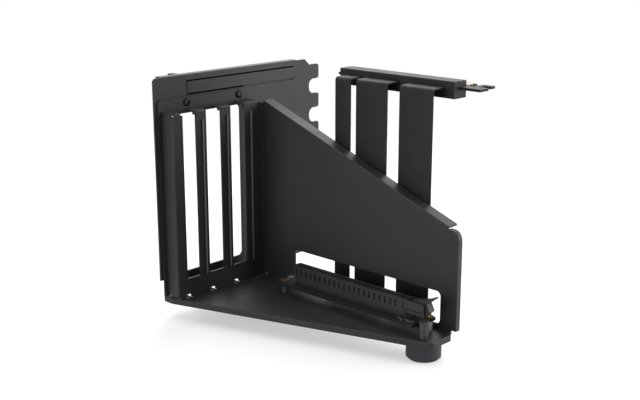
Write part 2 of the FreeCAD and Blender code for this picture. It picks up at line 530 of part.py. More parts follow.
def make_bracket_sheet():
    body = new_body("bracket_sheet")
    side, relief = "-frame_side", "fold_relief"
    right = f"-{relief}"
    wall_top = f"({SHELF_UNDER} - touch_gap)"
    inset = f"({side} + {relief})"
    under, back = BASE_UNDER, "sheet_thick"

    # Slot frame: its face, side wall and shelf, and the flange that lies on the rear plate.
    corner_top = f"({panel_edge('brim_start')} - {relief})"
    face = [
        (inset, FRAME_FOOT), (back, FRAME_FOOT), (back, corner_top), (right, corner_top), (right, "shelf_top"),
        (inset, "shelf_top"), (inset, wall_top), (side, wall_top), (side, "-side_foot"), (inset, "-side_foot"),
    ]
    pad(body, "frame_face", "YZ_Plane", FRAME_BACK, "sheet_thick", [face])
    wall = box_corners("plate_thick", FRAME_FRONT, "-side_foot", wall_top)
    pad(body, "side_wall", "XZ_Plane", f"-({side})", "sheet_thick", [wall], back=True)
    shelf_end = f"{FRAME_FRONT} - {relief}"
    shelf = [
        ("plate_thick", side), (shelf_end, side), (shelf_end, inset), (FRAME_FRONT, inset),
        (FRAME_FRONT, right), ("plate_thick", right),
    ]
    pad(body, "shelf", "XY_Plane", "shelf_top", "sheet_thick", [shelf], back=True)
    wall_inner = f"({side} + sheet_thick)"
    flange = [
        ("-flange_left", "-flange_foot"), (wall_inner, "-flange_foot"), (wall_inner, SHELF_UNDER),
        ("-clamp_right", SHELF_UNDER), ("-clamp_right", "clamp_top"), ("-flange_left", "clamp_top"),
    ]
    pad(body, "clamp_flange", "YZ_Plane", "plate_thick", "sheet_thick", [flange])

    # Card panel with its sloping edge, the brim along it, the return down its right edge, and the base.
    panel_foot = f"({FRAME_FOOT} + {relief})"
    panel_left, panel_start = FRAME_BACK, f"({FRAME_FRONT} + 2 * {relief})"
    base_end = f"(base_right - {relief})"
    shoulder = f"({panel_edge('brim_end')} - {relief})"
    panel = [
        (panel_left, FRAME_FOOT), (f"{panel_start} - {relief} / 2", FRAME_FOOT),
        (f"{panel_start} - {relief} / 2", panel_foot), (panel_start, panel_foot), (panel_start, under),
        (base_end, under), (base_end, panel_foot), ("panel_right", panel_foot), ("panel_right", shoulder),
        ("brim_end", shoulder), ("brim_end", panel_edge("brim_end")), ("brim_start", panel_edge("brim_start")),
        ("brim_start", corner_top), (panel_left, corner_top),
    ]
    pad(body, "panel", "XZ_Plane", "0", back, [panel], back=True)
    drop = f"sheet_thick * {SLANT}"
    brim = [
        ("brim_start", panel_edge("brim_start")), ("brim_start", f"{panel_edge('brim_start')} - {drop}"),
        ("brim_end", f"{panel_edge('brim_end')} - {drop}"), ("brim_end", panel_edge("brim_end")),
    ]
    pad(body, "brim", "XZ_Plane", "0", "brim_wide", [brim], back=True)
    turned = box_corners("panel_right - sheet_thick", "panel_right", panel_foot,
                         f"{shoulder} - panel_round - {relief}")
    pad(body, "return", "XZ_Plane", "0", "return_deep", [turned], back=True)
    front = [("-base_back", side), ("base_nose", side), ("base_right", "-base_front"), ("base_right", right)]
    base_left = f"({back} - touch_gap)"
    base = front + [(base_end, right), (base_end, back), (panel_start, back), (panel_start, base_left),
                    ("-base_back", base_left)]
    pad(body, "base", "XY_Plane", "-base_top", "sheet_thick", [base], back=True)
    turn_in = f"(sheet_thick * (1 - {BASE_SLANT}) / {BASE_SLOPE})"
    corner_in = f"(sheet_thick * ({BASE_SLANT} - {BASE_SLOPE}) - base_front)"
    inner = [("-base_back", wall_inner), (f"base_nose + {turn_in}", wall_inner),
             ("base_right - sheet_thick", corner_in), ("base_right - sheet_thick", right)]
    lip_low = "(-base_top - lip_deep)"
    pad(body, "lip", "XY_Plane", "-base_top", "lip_deep", [front + inner[::-1]], back=True)

    # Folds, while their edges are still whole.
    fillet(body, "lip_corner_inner", upright_lines([inner[2]], lip_low, under), "base_round - sheet_thick")
    fillet(body, "lip_turn_inner", upright_lines([inner[1]], lip_low, under), "base_bend_round - sheet_thick")
    fillet(body, "lip_corner", upright_lines([front[2]], lip_low, "-base_top"), "base_round")
    fillet(body, "lip_turn", upright_lines([front[1]], lip_low, "-base_top"), "base_bend_round")
    fillet(body, "frame_side_outer", upright_lines([(FRAME_FRONT, side)], "-side_foot", wall_top), "bend_outer")
    fillet(body, "frame_side_inner", upright_lines([(FRAME_BACK, wall_inner)], "-side_foot", wall_top),
           "bend_inner")
    fillet(body, "panel_fold_inner", upright_lines([(FRAME_FRONT, "0")], FRAME_FOOT, corner_top), "bend_inner")
    fillet(body, "panel_fold_outer", upright_lines([(FRAME_BACK, back)], FRAME_FOOT, corner_top), "bend_outer")
    fillet(body, "shelf_outer", across_lines([(FRAME_FRONT, "shelf_top")], inset, right), "bend_outer")
    fillet(body, "brim_outer", [(("brim_start", "0", panel_edge("brim_start")),
                                 ("brim_end", "0", panel_edge("brim_end")))], "bend_outer")
    fillet(body, "base_fold_inner", through_lines([("0", "-base_top")], panel_start, base_end), "bend_inner")
    fillet(body, "base_fold_outer", through_lines([(back, under)], panel_start, base_end), "bend_outer")
    fillet(body, "lip_fold", [(("base_nose", side, "-base_top"), ("base_right", "-base_front", "-base_top"))],
           "bend_outer")
    fillet(body, "panel_corner", across_lines([("panel_right", shoulder)], "0", back), "panel_round")
    fillet(body, "clamp_corners", through_lines([("-flange_left", "clamp_top"), ("-clamp_right", "clamp_top")],
                                                "plate_thick", "plate_thick + sheet_thick"), "clamp_round")

    # Slot windows, open through the shelf, and the hem beside the first.
    slots = [slot_middle(k) for k in range(int(measure("slot_count")))]
    edges = [(f"{y} - window_wide / 2", f"{y} + window_wide / 2") for y in slots]
    pocket(body, "windows", "YZ_Plane", FRAME_FRONT, "sheet_thick",
           [box_corners(low, high, "-window_bottom", f"shelf_top + {SPAN}") for low, high in edges])
    pocket(body, "shelf_slots", "XY_Plane", "shelf_top", "sheet_thick",
           [box_corners("plate_thick + shelf_strip", f"{FRAME_FRONT} + {SPAN}", low, high)
            for low, high in edges])
    feet = [(y, "-window_bottom") for pair in edges for y in pair]
    fillet(body, "window_corners", through_lines(feet, FRAME_BACK, FRAME_FRONT), "window_round")
    hem_left = edges[0][0]
    hem = box_corners(f"{hem_left} - hem_wide", f"{hem_left} + hem_wide",
                      "-window_bottom - hem_past", "hem_top")
    pad(body, "hem", "YZ_Plane", FRAME_BACK, "sheet_thick", [hem], back=True)

    # Guide ridges on the bars, and the threaded collars for the card screws under the shelf.
    bars = [f"({y} + slot_pitch / 2)" for y in slots]
    lines = [(f"{y} + ridge_shift - ridge_wide / 2", f"{y} + ridge_shift + ridge_wide / 2") for y in bars]
    pad(body, "ridges", "YZ_Plane", FRAME_FRONT, "ridge_tall",
        [box_corners(low, high, "-window_bottom", "ridge_top") for low, high in lines])
    crest = f"{FRAME_FRONT} + ridge_tall"
    fillet(body, "ridge_crests", upright_lines([(crest, y) for pair in lines for y in pair], "-window_bottom",
                                               "ridge_top"), "ridge_crest")
    screws = [("plate_thick + collar_in", y) for y in bars]
    pad(body, "collars", "XY_Plane", SHELF_UNDER, "collar_deep",
        circles=[(spot, "collar_radius") for spot in screws], back=True)
    pocket(body, "card_threads", "XY_Plane", "shelf_top", "sheet_thick + collar_deep",
           circles=[(spot, "card_thread_radius") for spot in screws])

    # Tongue notches at the foot of each slot, and the holes beside them in the base.
    lefts = [f"({k} * slot_pitch + tongue_in - frame_side)" for k in range(len(slots))]
    pocket(body, "tongue_notches", "YZ_Plane", FRAME_FRONT, "sheet_thick",
           [box_corners(y, f"{y} + tongue_wide", f"{FRAME_FOOT} - touch_gap / 2", f"{FRAME_FOOT} + tongue_tall")
            for y in lefts])
    floor = [box_corners(f"{FRAME_FRONT} - tongue_floor_deep", f"{FRAME_FRONT} + tongue_floor_past",
                         f"{y} + tongue_floor_shift", f"{y} + tongue_floor_shift + tongue_floor_wide")
             for y in lefts]
    pocket(body, "tongue_floor", "XY_Plane", "-base_top", "sheet_thick", floor)

    # Cable window in the panel, and the screw holes.
    cable = box_corners("cable_left", "cable_right", "-cable_bottom", "-cable_top")
    pocket(body, "cable_window", "XZ_Plane", "0", back, [cable])
    fillet(body, "cable_corners", across_lines(cable, "0", back), "cable_round")
    clamp_holes = [((f"-{place}", "clamp_screw_up"), SCREW_HOLE)
                   for place in ("clamp_screw_left", "clamp_screw_right")]
    pocket(body, "clamp_holes", "YZ_Plane", "plate_thick + sheet_thick", "sheet_thick", circles=clamp_holes)
    holes = [((x, y), "spigot_radius") for label, x, y, radius, height in standoff_places()]
    holes.append((("foot_along", "-foot_across"), SCREW_HOLE))
    pocket(body, "base_holes", "XY_Plane", "-base_top", "sheet_thick", circles=holes)
    return body


def standoff_places():
    """Each standoff's label, its axis along and across, its radius and its height."""
    return [
        ("left_standoff", "stud_left", "-stud_across", "stud_left_radius", "board_lift"),
        ("right_post", "stud_right", "-stud_across", "stud_right_radius", "post_tall"),
        ("back_standoff", "stud_back", "-stud_back_across", "stud_back_radius", "board_lift"),
    ]


def primitive(kind, name, sizes, place, turn=None):
    """A bound box, cylinder or cone at a place given by three formulas."""
    thing = doc.addObject(f"Part::{kind}", name)
    for key, text in sizes.items():
        bind(thing, key, text)
    if turn:
        thing.Placement = Placement(Vector(), turn)
    for key, text in zip("xyz", place):
        bind(thing, f"Placement.Base.{key}", text)
    return thing


def fuse(label, things):
    joined = doc.addObject("Part::MultiFuse", label)
    joined.Label = label
    joined.Shapes = things
    return joined


def cut(label, base, tool):
    rest = doc.addObject("Part::Cut", label)
    rest.Label = label
    rest.Base = base
    rest.Tool = tool
    return rest


def group(label, things):
    together = doc.addObject("Part::Compound", label)
    together.Label = label
    together.Links = things
    return together


ALONG_X = Rotation(Vector(0, 1, 0), 90)
UPSIDE_DOWN = Rotation(Vector(1, 0, 0), 180)


def pan_screw(name, place, shank, turn=None):
    """A pan head screw whose head sits at a place, with its shank along the turned -Z axis."""
    body = doc.addObject("PartDesign::Body", name)
    sketch = new_sketch(body, "profile", "XZ_Plane", "0")
    draw_polygon(sketch, [
        ("0", f"-({shank})"), ("screw_shank_radius", f"-({shank})"), ("screw_shank_radius", "0"),
        ("screw_head_radius", "0"), ("screw_head_radius", "screw_head_edge"),
        ("screw_head_crown", "screw_head_tall"), ("0", "screw_head_tall"),
    ])
    spin = body.newObject("PartDesign::Revolution", f"{name}_turned")
    spin.Profile = sketch
    spin.ReferenceAxis = (sketch, ["V_Axis"])
    spin.Angle = 360
    doc.recompute()
    wide, reach = "screw_cross_wide / 2", "screw_cross_long / 2"
    bars = [box_corners(f"-{reach}", reach, f"-{wide}", wide),
            box_corners(f"-{wide}", wide, f"-{reach}", reach)]
    for number, bar in enumerate(bars):
        pocket(body, f"recess_{number}", "XY_Plane", "screw_head_tall", "screw_cross_deep", [bar])
    if turn:
        body.Placement = Placement(Vector(), turn)
    for key, text in zip("xyz", place):
        bind(body, f"Placement.Base.{key}", text)
    return body


def make_frame_screws():
    face = "plate_thick + sheet_thick"
    screws = [
        pan_screw(f"clamp_screw_{number}", (face, f"-{place}", "clamp_screw_up"), face, ALONG_X)
        for number, place in enumerate(("clamp_screw_left", "clamp_screw_right"))
    ]
    return group("frame_screws", screws)


def make_foot():
    body = new_body("rubber_foot")
    sketch = new_sketch(body, "profile", "XZ_Plane", "0")
    draw_polygon(sketch, [
        (SCREW_HOLE, "0"), ("foot_radius", "0"), ("foot_radius", "foot_round - foot_tall"),
        ("foot_radius - foot_round", "-foot_tall"), ("foot_well_radius", "-foot_tall"),
        ("foot_well_radius", "foot_well_deep - foot_tall"), (SCREW_HOLE, "foot_well_deep - foot_tall"),
    ])
    spin = body.newObject("PartDesign::Revolution", "rubber_foot_turned")
    spin.Profile = sketch
    spin.ReferenceAxis = (sketch, ["V_Axis"])
    spin.Angle = 360
    for key, text in zip("xyz", ("foot_along", "-foot_across", BASE_UNDER)):
        bind(body, f"Placement.Base.{key}", text)
    seat = f"{BASE_UNDER} - foot_tall + foot_well_deep"
    screw = pan_screw("foot_bolt", ("foot_along", "-foot_across", seat),
                      "foot_tall - foot_well_deep + sheet_thick", UPSIDE_DOWN)
    return [body, group("foot_screw", [screw])]


def make_standoffs():
    """The posts on the base, each with a spigot that fills its hole in the base."""
    posts = []
    for label, x, y, radius, height in standoff_places():
        post = primitive("Cylinder", f"{label}_post", {"Radius": radius, "Height": height}, (x, y, "-base_top"))
        spigot = primitive("Cylinder", f"{label}_spigot",
                           {"Radius": "spigot_radius", "Height": "sheet_thick + touch_gap"}, (x, y, BASE_UNDER))
        if label == "right_post":
            posts.append(fuse(label, [post, spigot]))
        elif label == "left_standoff":
            pin = primitive("Cylinder", f"{label}_pin",
                            {"Radius": "pin_radius", "Height": "board_thick + pin_proud + touch_gap"},
                            (x, y, f"{BOARD_UNDER} - touch_gap"))
            posts.append(fuse(label, [post, spigot, pin]))
        else:
            bore = primitive("Cylinder", f"{label}_bore", {"Radius": SCREW_HOLE, "Height": "board_bite"},
                             (x, y, f"{BOARD_UNDER} - board_bite"))
            posts.append(cut(label, fuse(f"{label}_joined", [post, spigot]), bore))
    return posts


def make_socket_board():
    body = new_body("socket_board")
    left = "stud_left - board_round"
    tab_front, tab_end = "-stud_back_across - board_tab", "stud_back + board_tab"
    outline = [
        (left, "-board_front"), ("board_front_end", "-board_front"), ("board_front_end", tab_front),
        (tab_end, tab_front), (tab_end, "-board_back"), (left, "-board_back"),
    ]
    holes = [
        (("stud_left", "-stud_across"), "pin_radius + screw_gap"),
        (("stud_back", "-stud_back_across"), SCREW_HOLE),
        (("peg_along", "-peg_across"), "peg_hole_radius"),
    ]
    pad(body, "laminate", "XY_Plane", BOARD_UNDER, "board_thick", [outline], holes)
    fillet(body, "corners", upright_lines([outline[0], outline[-1]], BOARD_UNDER, BOARD_TOP), "board_round")
    fillet(body, "tab_end", upright_lines(outline[3:5], BOARD_UNDER, BOARD_TOP), "board_tab_round")
    return body


def make_board_fixings():
    """The rings on the board's left end, and the screw at its right end."""
    rings = []
    sizes = [("copper_ring", "stud_left", "-stud_across", "pad_radius", "pin_radius + screw_gap", "pad_thick"),
             ("steel_ring", "peg_along", "-peg_across", "peg_radius", "peg_hole_radius", "peg_tall")]
    for label, x, y, outer, inner, height in sizes:
        place = (x, y, BOARD_TOP)
        disc = primitive("Cylinder", f"{label}_disc", {"Radius": outer, "Height": height}, place)
        bore = primitive("Cylinder", f"{label}_bore", {"Radius": inner, "Height": height}, place)
        rings.append(cut(label, disc, bore))
    screw = pan_screw("board_bolt", ("stud_back", "-stud_back_across", BOARD_TOP), "board_thick + board_bite")
    return [*rings, group("board_screw", [screw])]


def make_socket():
    """The card socket, with its slit, key, side grooves and the housing that carries the latch."""
    body = new_body("socket_body")
    front, back = "-socket_across - socket_wide / 2", "-socket_across + socket_wide / 2"
    block = box_corners("socket_left", "socket_right", front, back)
    pad(body, "block", "XY_Plane", BOARD_TOP, "socket_tall", [block])
    brow_end = "(socket_left - socket_brow)"
    pad(body, "brow", "XY_Plane", SOCKET_TOP, "socket_brow_tall",
        [box_corners(brow_end, "(socket_left + socket_wall_end)", front, back)], back=True)
    corners = [(brow_end, front), (brow_end, back)]
    fillet(body, "brow_corners", upright_lines(corners, f"{SOCKET_TOP} - socket_brow_tall", SOCKET_TOP),
           "socket_end_round")
    end = "(socket_right + housing_past)"
    pad(body, "housing", "XY_Plane", SOCKET_TOP, "socket_tall - housing_low",
        [box_corners("socket_right - seam_in", end, front, back)], back=True)
    fillet(body, "housing_end", across_lines([(end, SOCKET_TOP)], front, back), "housing_round")
    space = box_corners("socket_right + housing_in", f"{end} + {SPAN}",
                        f"{front} + yoke_wall", f"{back} - yoke_wall")
    pocket(body, "latch_space", "XY_Plane", SOCKET_TOP, "socket_tall - housing_low", [space])
    slit_front, slit_back = "-socket_across - socket_slit_wide / 2", "-socket_across + socket_slit_wide / 2"
    key = "(socket_left + key_from_left)"
    slits = [
        box_corners("socket_left + socket_wall_end", key, slit_front, slit_back),
        box_corners(f"{key} + key_long", f"socket_right + housing_in + {SPAN}", slit_front, slit_back),
    ]
    pocket(body, "card_slit", "XY_Plane", SOCKET_TOP, "socket_slit_deep", slits)

    # Grooves along both sides, and the seam round the latch housing.
    high = f"({SOCKET_TOP} - rib_drop)"
    first = "(socket_left + rib_first)"
    groove = box_corners(first, f"{first} + rib_wide", f"{high} - rib_tall", high)
    seam, seam_foot = "(socket_right - seam_in)", f"({BOARD_TOP} + seam_low)"
    turn = [
        (seam, seam_foot), (f"{end} - housing_round", seam_foot),
        (f"{end} - housing_round", f"{seam_foot} + seam_wide"),
        (f"{seam} + seam_wide", f"{seam_foot} + seam_wide"), (f"{seam} + seam_wide", high), (seam, high),
    ]
    for name, face, inward in (("front", front, False), ("back", back, True)):
        cut_one = pocket(body, f"groove_{name}", "XZ_Plane", f"-({face})", "rib_deep", [groove], back=inward)
        repeat(body, cut_one, "X_Axis", "rib_pitch", "rib_count")
        pocket(body, f"seam_{name}", "XZ_Plane", f"-({face})", "seam_deep", [turn], back=inward)
    pocket(body, "trunnion_bores", "XZ_Plane", f"-({front} + pivot_skin)", "socket_wide - 2 * pivot_skin",
           circles=[((PIVOT_X, PIVOT_Z), "pivot_radius + pivot_gap")])
    return body


def make_latch():
    """The lever that holds the card in the socket. It turns on trunnions in the housing's walls."""
    body = new_body("latch")
    wide = "(socket_wide - 2 * yoke_wall - 2 * latch_side_gap)"
    offsets = [
        ("- latch_heel", "- latch_low"), ("+ latch_toe", "- latch_low"), ("+ latch_belly", "+ latch_belly_up"),
        ("+ latch_neck", "+ latch_neck_up"), ("+ latch_lever", "+ latch_tall - lever_thick"),
        ("+ latch_lever", "+ latch_tall"), ("+ latch_crown", "+ latch_crown_up"),
        ("- latch_nose", "+ latch_nose_up"), ("- latch_nose", "+ latch_nose_up - latch_nose_tall"),
        ("- latch_heel", "+ latch_heel_up"),
    ]
    profile = [(f"{PIVOT_X} {x}", f"{PIVOT_Z} {z}") for x, z in offsets]
    pad(body, "lever", "XZ_Plane", f"socket_across + {wide} / 2", wide, [profile], back=True)
    reach = "(socket_wide / 2 - pivot_skin - pivot_gap)"
    pad(body, "trunnions", "XZ_Plane", f"socket_across + {reach}", f"2 * {reach}",
        circles=[((PIVOT_X, PIVOT_Z), "pivot_radius")], back=True)
    return body


def ribbon_places():
    """Each riser ribbon's label, left edge and width."""
    second = "(ribbon_left + ribbon_one + ribbon_gap_one)"
    third = f"({second} + ribbon_two + ribbon_gap_two)"
    return [
        ("ribbon_one", "ribbon_left", "ribbon_one"),
        ("ribbon_two", second, "ribbon_two"),
        ("ribbon_three", third, "ribbon_three"),
    ]


def make_ribbon(label, left, width):
    """A flat ribbon from the socket board, through the cable window, up behind the panel and into the plug."""
    body = new_body(label)
    half = "(ribbon_thick / 2)"
    start = "(socket_wide / 2 - socket_across)"
    upright = "ribbon_behind"
    low, high = f"({BOARD_TOP} + {half})", "plug_middle"
    profile = [
        (start, f"{low} - {half}"), (f"{upright} + {half}", f"{low} - {half}"),
        (f"{upright} + {half}", f"{high} - {half}"), (EDGE_FRONT, f"{high} - {half}"),
        (EDGE_FRONT, f"{high} + {half}"), (f"{upright} - {half}", f"{high} + {half}"),
        (f"{upright} - {half}", f"{low} + {half}"), (start, f"{low} + {half}"),
    ]
    pad(body, "band", "YZ_Plane", left, width, [profile])
    ends = (left, f"{left} + {width}")
    outer = [(f"{upright} + {half}", f"{low} - {half}"), (f"{upright} - {half}", f"{high} + {half}")]
    inner = [(f"{upright} - {half}", f"{low} + {half}"), (f"{upright} + {half}", f"{high} - {half}")]
    fillet(body, "inner_bends", through_lines(inner, *ends), f"ribbon_bend - {half}")
    fillet(body, "outer_bends", through_lines(outer, *ends), f"ribbon_bend + {half}")
    return body


def make_plug_shells():
    """The plug's two moulded halves, which clamp the edge board and let the ribbons in."""
    shells = []
    for label, sign, height in (("plug_upper_shell", "+", "plug_up"), ("plug_lower_shell", "-", "plug_down")):
        body = new_body(label)
        upper = sign == "+"
        block = box_corners("plug_left", PLUG_RIGHT, "plug_front", PLUG_BACK)
        pad(body, "half", "XY_Plane", "plug_middle", height, [block], back=not upper)
        far = f"plug_middle {sign} {height}"
        rim = [
            (("plug_left", "plug_front", far), (PLUG_RIGHT, "plug_front", far)),
            (("plug_left", PLUG_BACK, far), (PLUG_RIGHT, PLUG_BACK, far)),
        ]
        fillet(body, "edges", rim, "plug_round")
        bed = box_corners(f"plug_left - {SPAN}", f"{PLUG_RIGHT} + {SPAN}", EDGE_FRONT, f"{PLUG_BACK} + {SPAN}")
        pocket(body, "board_bed", "XY_Plane", "plug_middle", "edge_thick / 2", [bed], back=upper)
        mouths = [
            box_corners(f"{left} - plug_slot_gap", f"{left} + {width} + plug_slot_gap", f"plug_front - {SPAN}",
                        EDGE_FRONT)
            for ribbon, left, width in ribbon_places()
        ]
        pocket(body, "ribbon_mouths", "XY_Plane", "plug_middle", "ribbon_thick / 2 + plug_slot_gap", mouths,
               back=upper)
        shells.append(body)
    return shells


def make_edge_board():
    """The edge board, with its keyed contact blade and card hook."""
    body = new_body("edge_board")
    left, right = "plug_left - edge_left", f"{PLUG_RIGHT} + edge_right"
    key = "(blade_left + blade_key)"
    end = "(blade_left + blade_long)"
    hook_left = f"({end} + blade_hook_gap)"
    hook_right = f"({hook_left} + blade_hook_long)"
    hook_low = f"({BLADE_TIP} - blade_hook_wide)"
    neck = f"({hook_left} + blade_hook_neck)"
    outline = [
        (left, EDGE_FRONT), (right, EDGE_FRONT), (right, EDGE_BACK), (neck, EDGE_BACK), (neck, hook_low),
        (hook_right, hook_low), (hook_right, BLADE_TIP), (hook_left, BLADE_TIP), (hook_left, EDGE_BACK),
        (end, EDGE_BACK), (end, BLADE_TIP), (f"{key} + blade_key_wide", BLADE_TIP),
        (f"{key} + blade_key_wide", EDGE_BACK), (key, EDGE_BACK), (key, BLADE_TIP), ("blade_left", BLADE_TIP),
        ("blade_left", EDGE_BACK), (left, EDGE_BACK),
    ]
    pad(body, "laminate", "XY_Plane", "plug_middle - edge_thick / 2", "edge_thick", [outline])
    return body


def make_gold_fingers():
    """The contact blade's plated fingers, on both faces and either side of its key slot."""
    key_start = measure("blade_key - finger_wide - finger_key_gap")
    key_stop = measure("blade_key + blade_key_wide + finger_key_gap")
    last = int(measure("(blade_long - 2 * finger_margin - finger_wide) / finger_pitch"))
    fingers = []
    for k in range(last + 1):
        from_end = f"(finger_margin + {k} * finger_pitch)"
        if key_start < measure(from_end) < key_stop:
            continue
        for face, low in (("upper", "plug_middle + edge_thick / 2"),
                          ("lower", "plug_middle - edge_thick / 2 - finger_thick")):
            fingers.append(primitive(
                "Box", f"finger_{face}_{k}",
                {"Length": "finger_wide", "Width": "finger_long", "Height": "finger_thick"},
                (f"blade_left + {from_end}", f"{BLADE_TIP} - finger_inset - finger_long", low)))
    return group("gold_fingers", fingers)


parts = [make_rear_plate(), make_bracket_sheet(), make_frame_screws(), *make_foot(), *make_standoffs()]
parts += [make_socket_board(), *make_board_fixings(), make_socket(), make_latch()]
parts += [make_ribbon(*place) for place in ribbon_places()]
parts += [*make_plug_shells(), make_edge_board(), make_gold_fingers()]
doc.recompute()

for thing in doc.Objects:
    if {"Invalid", "Error"} & set(thing.State):
        raise ValueError(f"{thing.Name} failed: {thing.State}")
for part in parts:
    if part.Shape.isNull() or not part.Shape.isValid():
        raise ValueError(f"{part.Label} has no valid shape")

os.makedirs("parts", exist_ok=True)
for part in parts:
    part.Shape.exportStep(f"parts/{part.Label}.step")
    print(f"{part.Label}: {len(part.Shape.Solids)} solids, {part.Shape.Volume:.1f} mm3")
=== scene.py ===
import math

import bmesh
import bpy
from mathutils import Matrix, Vector


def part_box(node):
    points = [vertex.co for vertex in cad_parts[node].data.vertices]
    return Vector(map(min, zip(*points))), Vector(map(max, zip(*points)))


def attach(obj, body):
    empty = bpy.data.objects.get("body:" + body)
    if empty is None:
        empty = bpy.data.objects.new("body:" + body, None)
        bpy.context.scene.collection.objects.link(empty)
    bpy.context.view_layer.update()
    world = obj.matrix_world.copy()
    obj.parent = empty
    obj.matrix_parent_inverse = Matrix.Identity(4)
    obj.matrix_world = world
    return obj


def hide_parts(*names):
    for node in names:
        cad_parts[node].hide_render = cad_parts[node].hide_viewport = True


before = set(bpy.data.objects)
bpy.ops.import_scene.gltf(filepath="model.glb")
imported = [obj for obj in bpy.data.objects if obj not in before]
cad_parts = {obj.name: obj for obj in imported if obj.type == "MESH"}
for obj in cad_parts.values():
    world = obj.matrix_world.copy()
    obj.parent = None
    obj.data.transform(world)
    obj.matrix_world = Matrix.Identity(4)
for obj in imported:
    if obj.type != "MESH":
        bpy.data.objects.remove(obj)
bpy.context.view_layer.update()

mm = 0.001
pureWhite = (1, 1, 1, 1)
print("stage: frame loaded")


def linear(hexColour, alpha=1.0):
    channels = [int(hexColour[i:i + 2], 16) / 255 for i in (1, 3, 5)]
    flat = [c / 12.92 if c <= 0.04045 else ((c + 0.055) / 1.055) ** 2.4 for c in channels]
    return (*flat, alpha)


def addNode(tree, kind, links=(), inputs=(), **settings):
    # links: (input, other node, its output); inputs: (input, value)
    node = tree.nodes.new(kind)
    for key, value in settings.items():
        setattr(node, key, value)
    for key, value in inputs:
        node.inputs[key].default_value = value
    for key, other, output in links:
        tree.links.new(other.outputs[output], node.inputs[key])
    return node


# What all the materials share: how finely each noise is broken up, and the span of it that moves the roughness.
patterns = {"driftDetail": 3.0, "grainDetail": 2.0, "grainRoughness": 0.55, "patchLow": 0.3, "patchHigh": 0.7}


def newMaterial(name, hexColour, roughness, metallic=0.0, ior=None,
                shade=None, grain=None, patches=None, ribs=None):
    # shade: slow drift to a second colour; grain: surface bumps; patches: drift of roughness; ribs: fine parallel lines
    material = bpy.data.materials.new(name)
    material.use_nodes = True
    tree = material.node_tree
    shader = tree.nodes["Principled BSDF"]
    shader.inputs["Base Color"].default_value = linear(hexColour)
    shader.inputs["Roughness"].default_value = roughness
    shader.inputs["Metallic"].default_value = metallic
    if ior:
        shader.inputs["IOR"].default_value = ior
    place = addNode(tree, "ShaderNodeTexCoord")
    if shade:
        drift = addNode(tree, "ShaderNodeTexNoise", [("Vector", place, "Object")],
                        [("Scale", 1 / (shade["size"] * mm)), ("Detail", patterns["driftDetail"])])
        blend = addNode(tree, "ShaderNodeMix", [("Factor", drift, "Fac")],
                        [(6, linear(hexColour)), (7, linear(shade["to"]))], data_type="RGBA")  # 6 and 7: its colours
        tree.links.new(blend.outputs[2], shader.inputs["Base Color"])
    relief = None
    if grain:
        bumps = addNode(tree, "ShaderNodeTexNoise", [("Vector", place, "Object")],
                        [("Scale", 1 / (grain["size"] * mm)), ("Detail", patterns["grainDetail"]),
                         ("Roughness", patterns["grainRoughness"])])
        relief = addNode(tree, "ShaderNodeBump", [("Height", bumps, "Fac")], [("Distance", grain["depth"] * mm)])
    if ribs:
        lines = addNode(tree, "ShaderNodeTexWave", [("Vector", place, "Object")],
                        [("Scale", math.pi / (10 * ribs["pitch"] * mm)), ("Distortion", 0.0)],
                        bands_direction=ribs["along"])  # the wave's own period is pi / 10 at a scale of 1
        before = [("Normal", relief, "Normal")] if relief else []
        relief = addNode(tree, "ShaderNodeBump", [("Height", lines, "Fac")] + before,
                         [("Distance", ribs["depth"] * mm)])
    if relief:
        tree.links.new(relief.outputs["Normal"], shader.inputs["Normal"])
    if patches:
        cloud = addNode(tree, "ShaderNodeTexNoise", [("Vector", place, "Object")],
                        [("Scale", 1 / (patches["size"] * mm)), ("Detail", patterns["driftDetail"])])
        ramp = addNode(tree, "ShaderNodeMapRange", [("Value", cloud, "Fac")],
                       [("From Min", patterns["patchLow"]), ("From Max", patterns["patchHigh"]),
                        ("To Min", roughness - patches["amount"]), ("To Max", roughness + patches["amount"])])
        tree.links.new(ramp.outputs["Result"], shader.inputs["Roughness"])
    return material


# Powder coated steel: baked dust, an even satin black whose very fine grain only smears what it mirrors.
powderCoat = newMaterial("powderCoat", "#18181a", 0.54, ior=1.42, shade={"to": "#1d1d1f", "size": 14.0},
                         grain={"size": 0.35, "depth": 0.006}, patches={"size": 9.0, "amount": 0.03})
# Painted highlight: the same powder coat made much lighter and smoother, laid on the ridge crests as the bright
# highlight line down each bar.
crestHighlightCoat = newMaterial("crestHighlightCoat", "#56575a", 0.36, ior=1.5, shade={"to": "#646568", "size": 4.0},
                            grain={"size": 0.5, "depth": 0.003}, patches={"size": 3.0, "amount": 0.05})
# Moulded nylon with glass fibre: dull black, slightly mottled by the mould.
mouldedNylon = newMaterial("mouldedNylon", "#161617", 0.5, ior=1.45, shade={"to": "#1d1d1e", "size": 4.0},
                           grain={"size": 0.3, "depth": 0.004}, patches={"size": 3.0, "amount": 0.05})
# Moulded ABS of the plug: greyer than the nylon, with a soft even sheen.
mouldedAbs = newMaterial("mouldedAbs", "#1e1e1f", 0.6, ior=1.32, shade={"to": "#272728", "size": 6.0},
                         grain={"size": 0.3, "depth": 0.004}, patches={"size": 5.0, "amount": 0.04})
# PVC film round the ribbons: matt, faintly green black, with the conductors just felt as lengthwise lines.
pvcFilm = newMaterial("pvcFilm", "#121414", 0.6, ior=1.35, shade={"to": "#151817", "size": 18.0},
                      grain={"size": 0.5, "depth": 0.005}, patches={"size": 12.0, "amount": 0.05},
                      ribs={"pitch": 1.27, "depth": 0.004, "along": "X"})
# Moulded rubber: dull with a faint blue bloom and a coarser skin.
mouldedRubber = newMaterial("mouldedRubber", "#1d2022", 0.7, shade={"to": "#23272a", "size": 5.0},
                            grain={"size": 0.4, "depth": 0.012}, patches={"size": 4.0, "amount": 0.06})
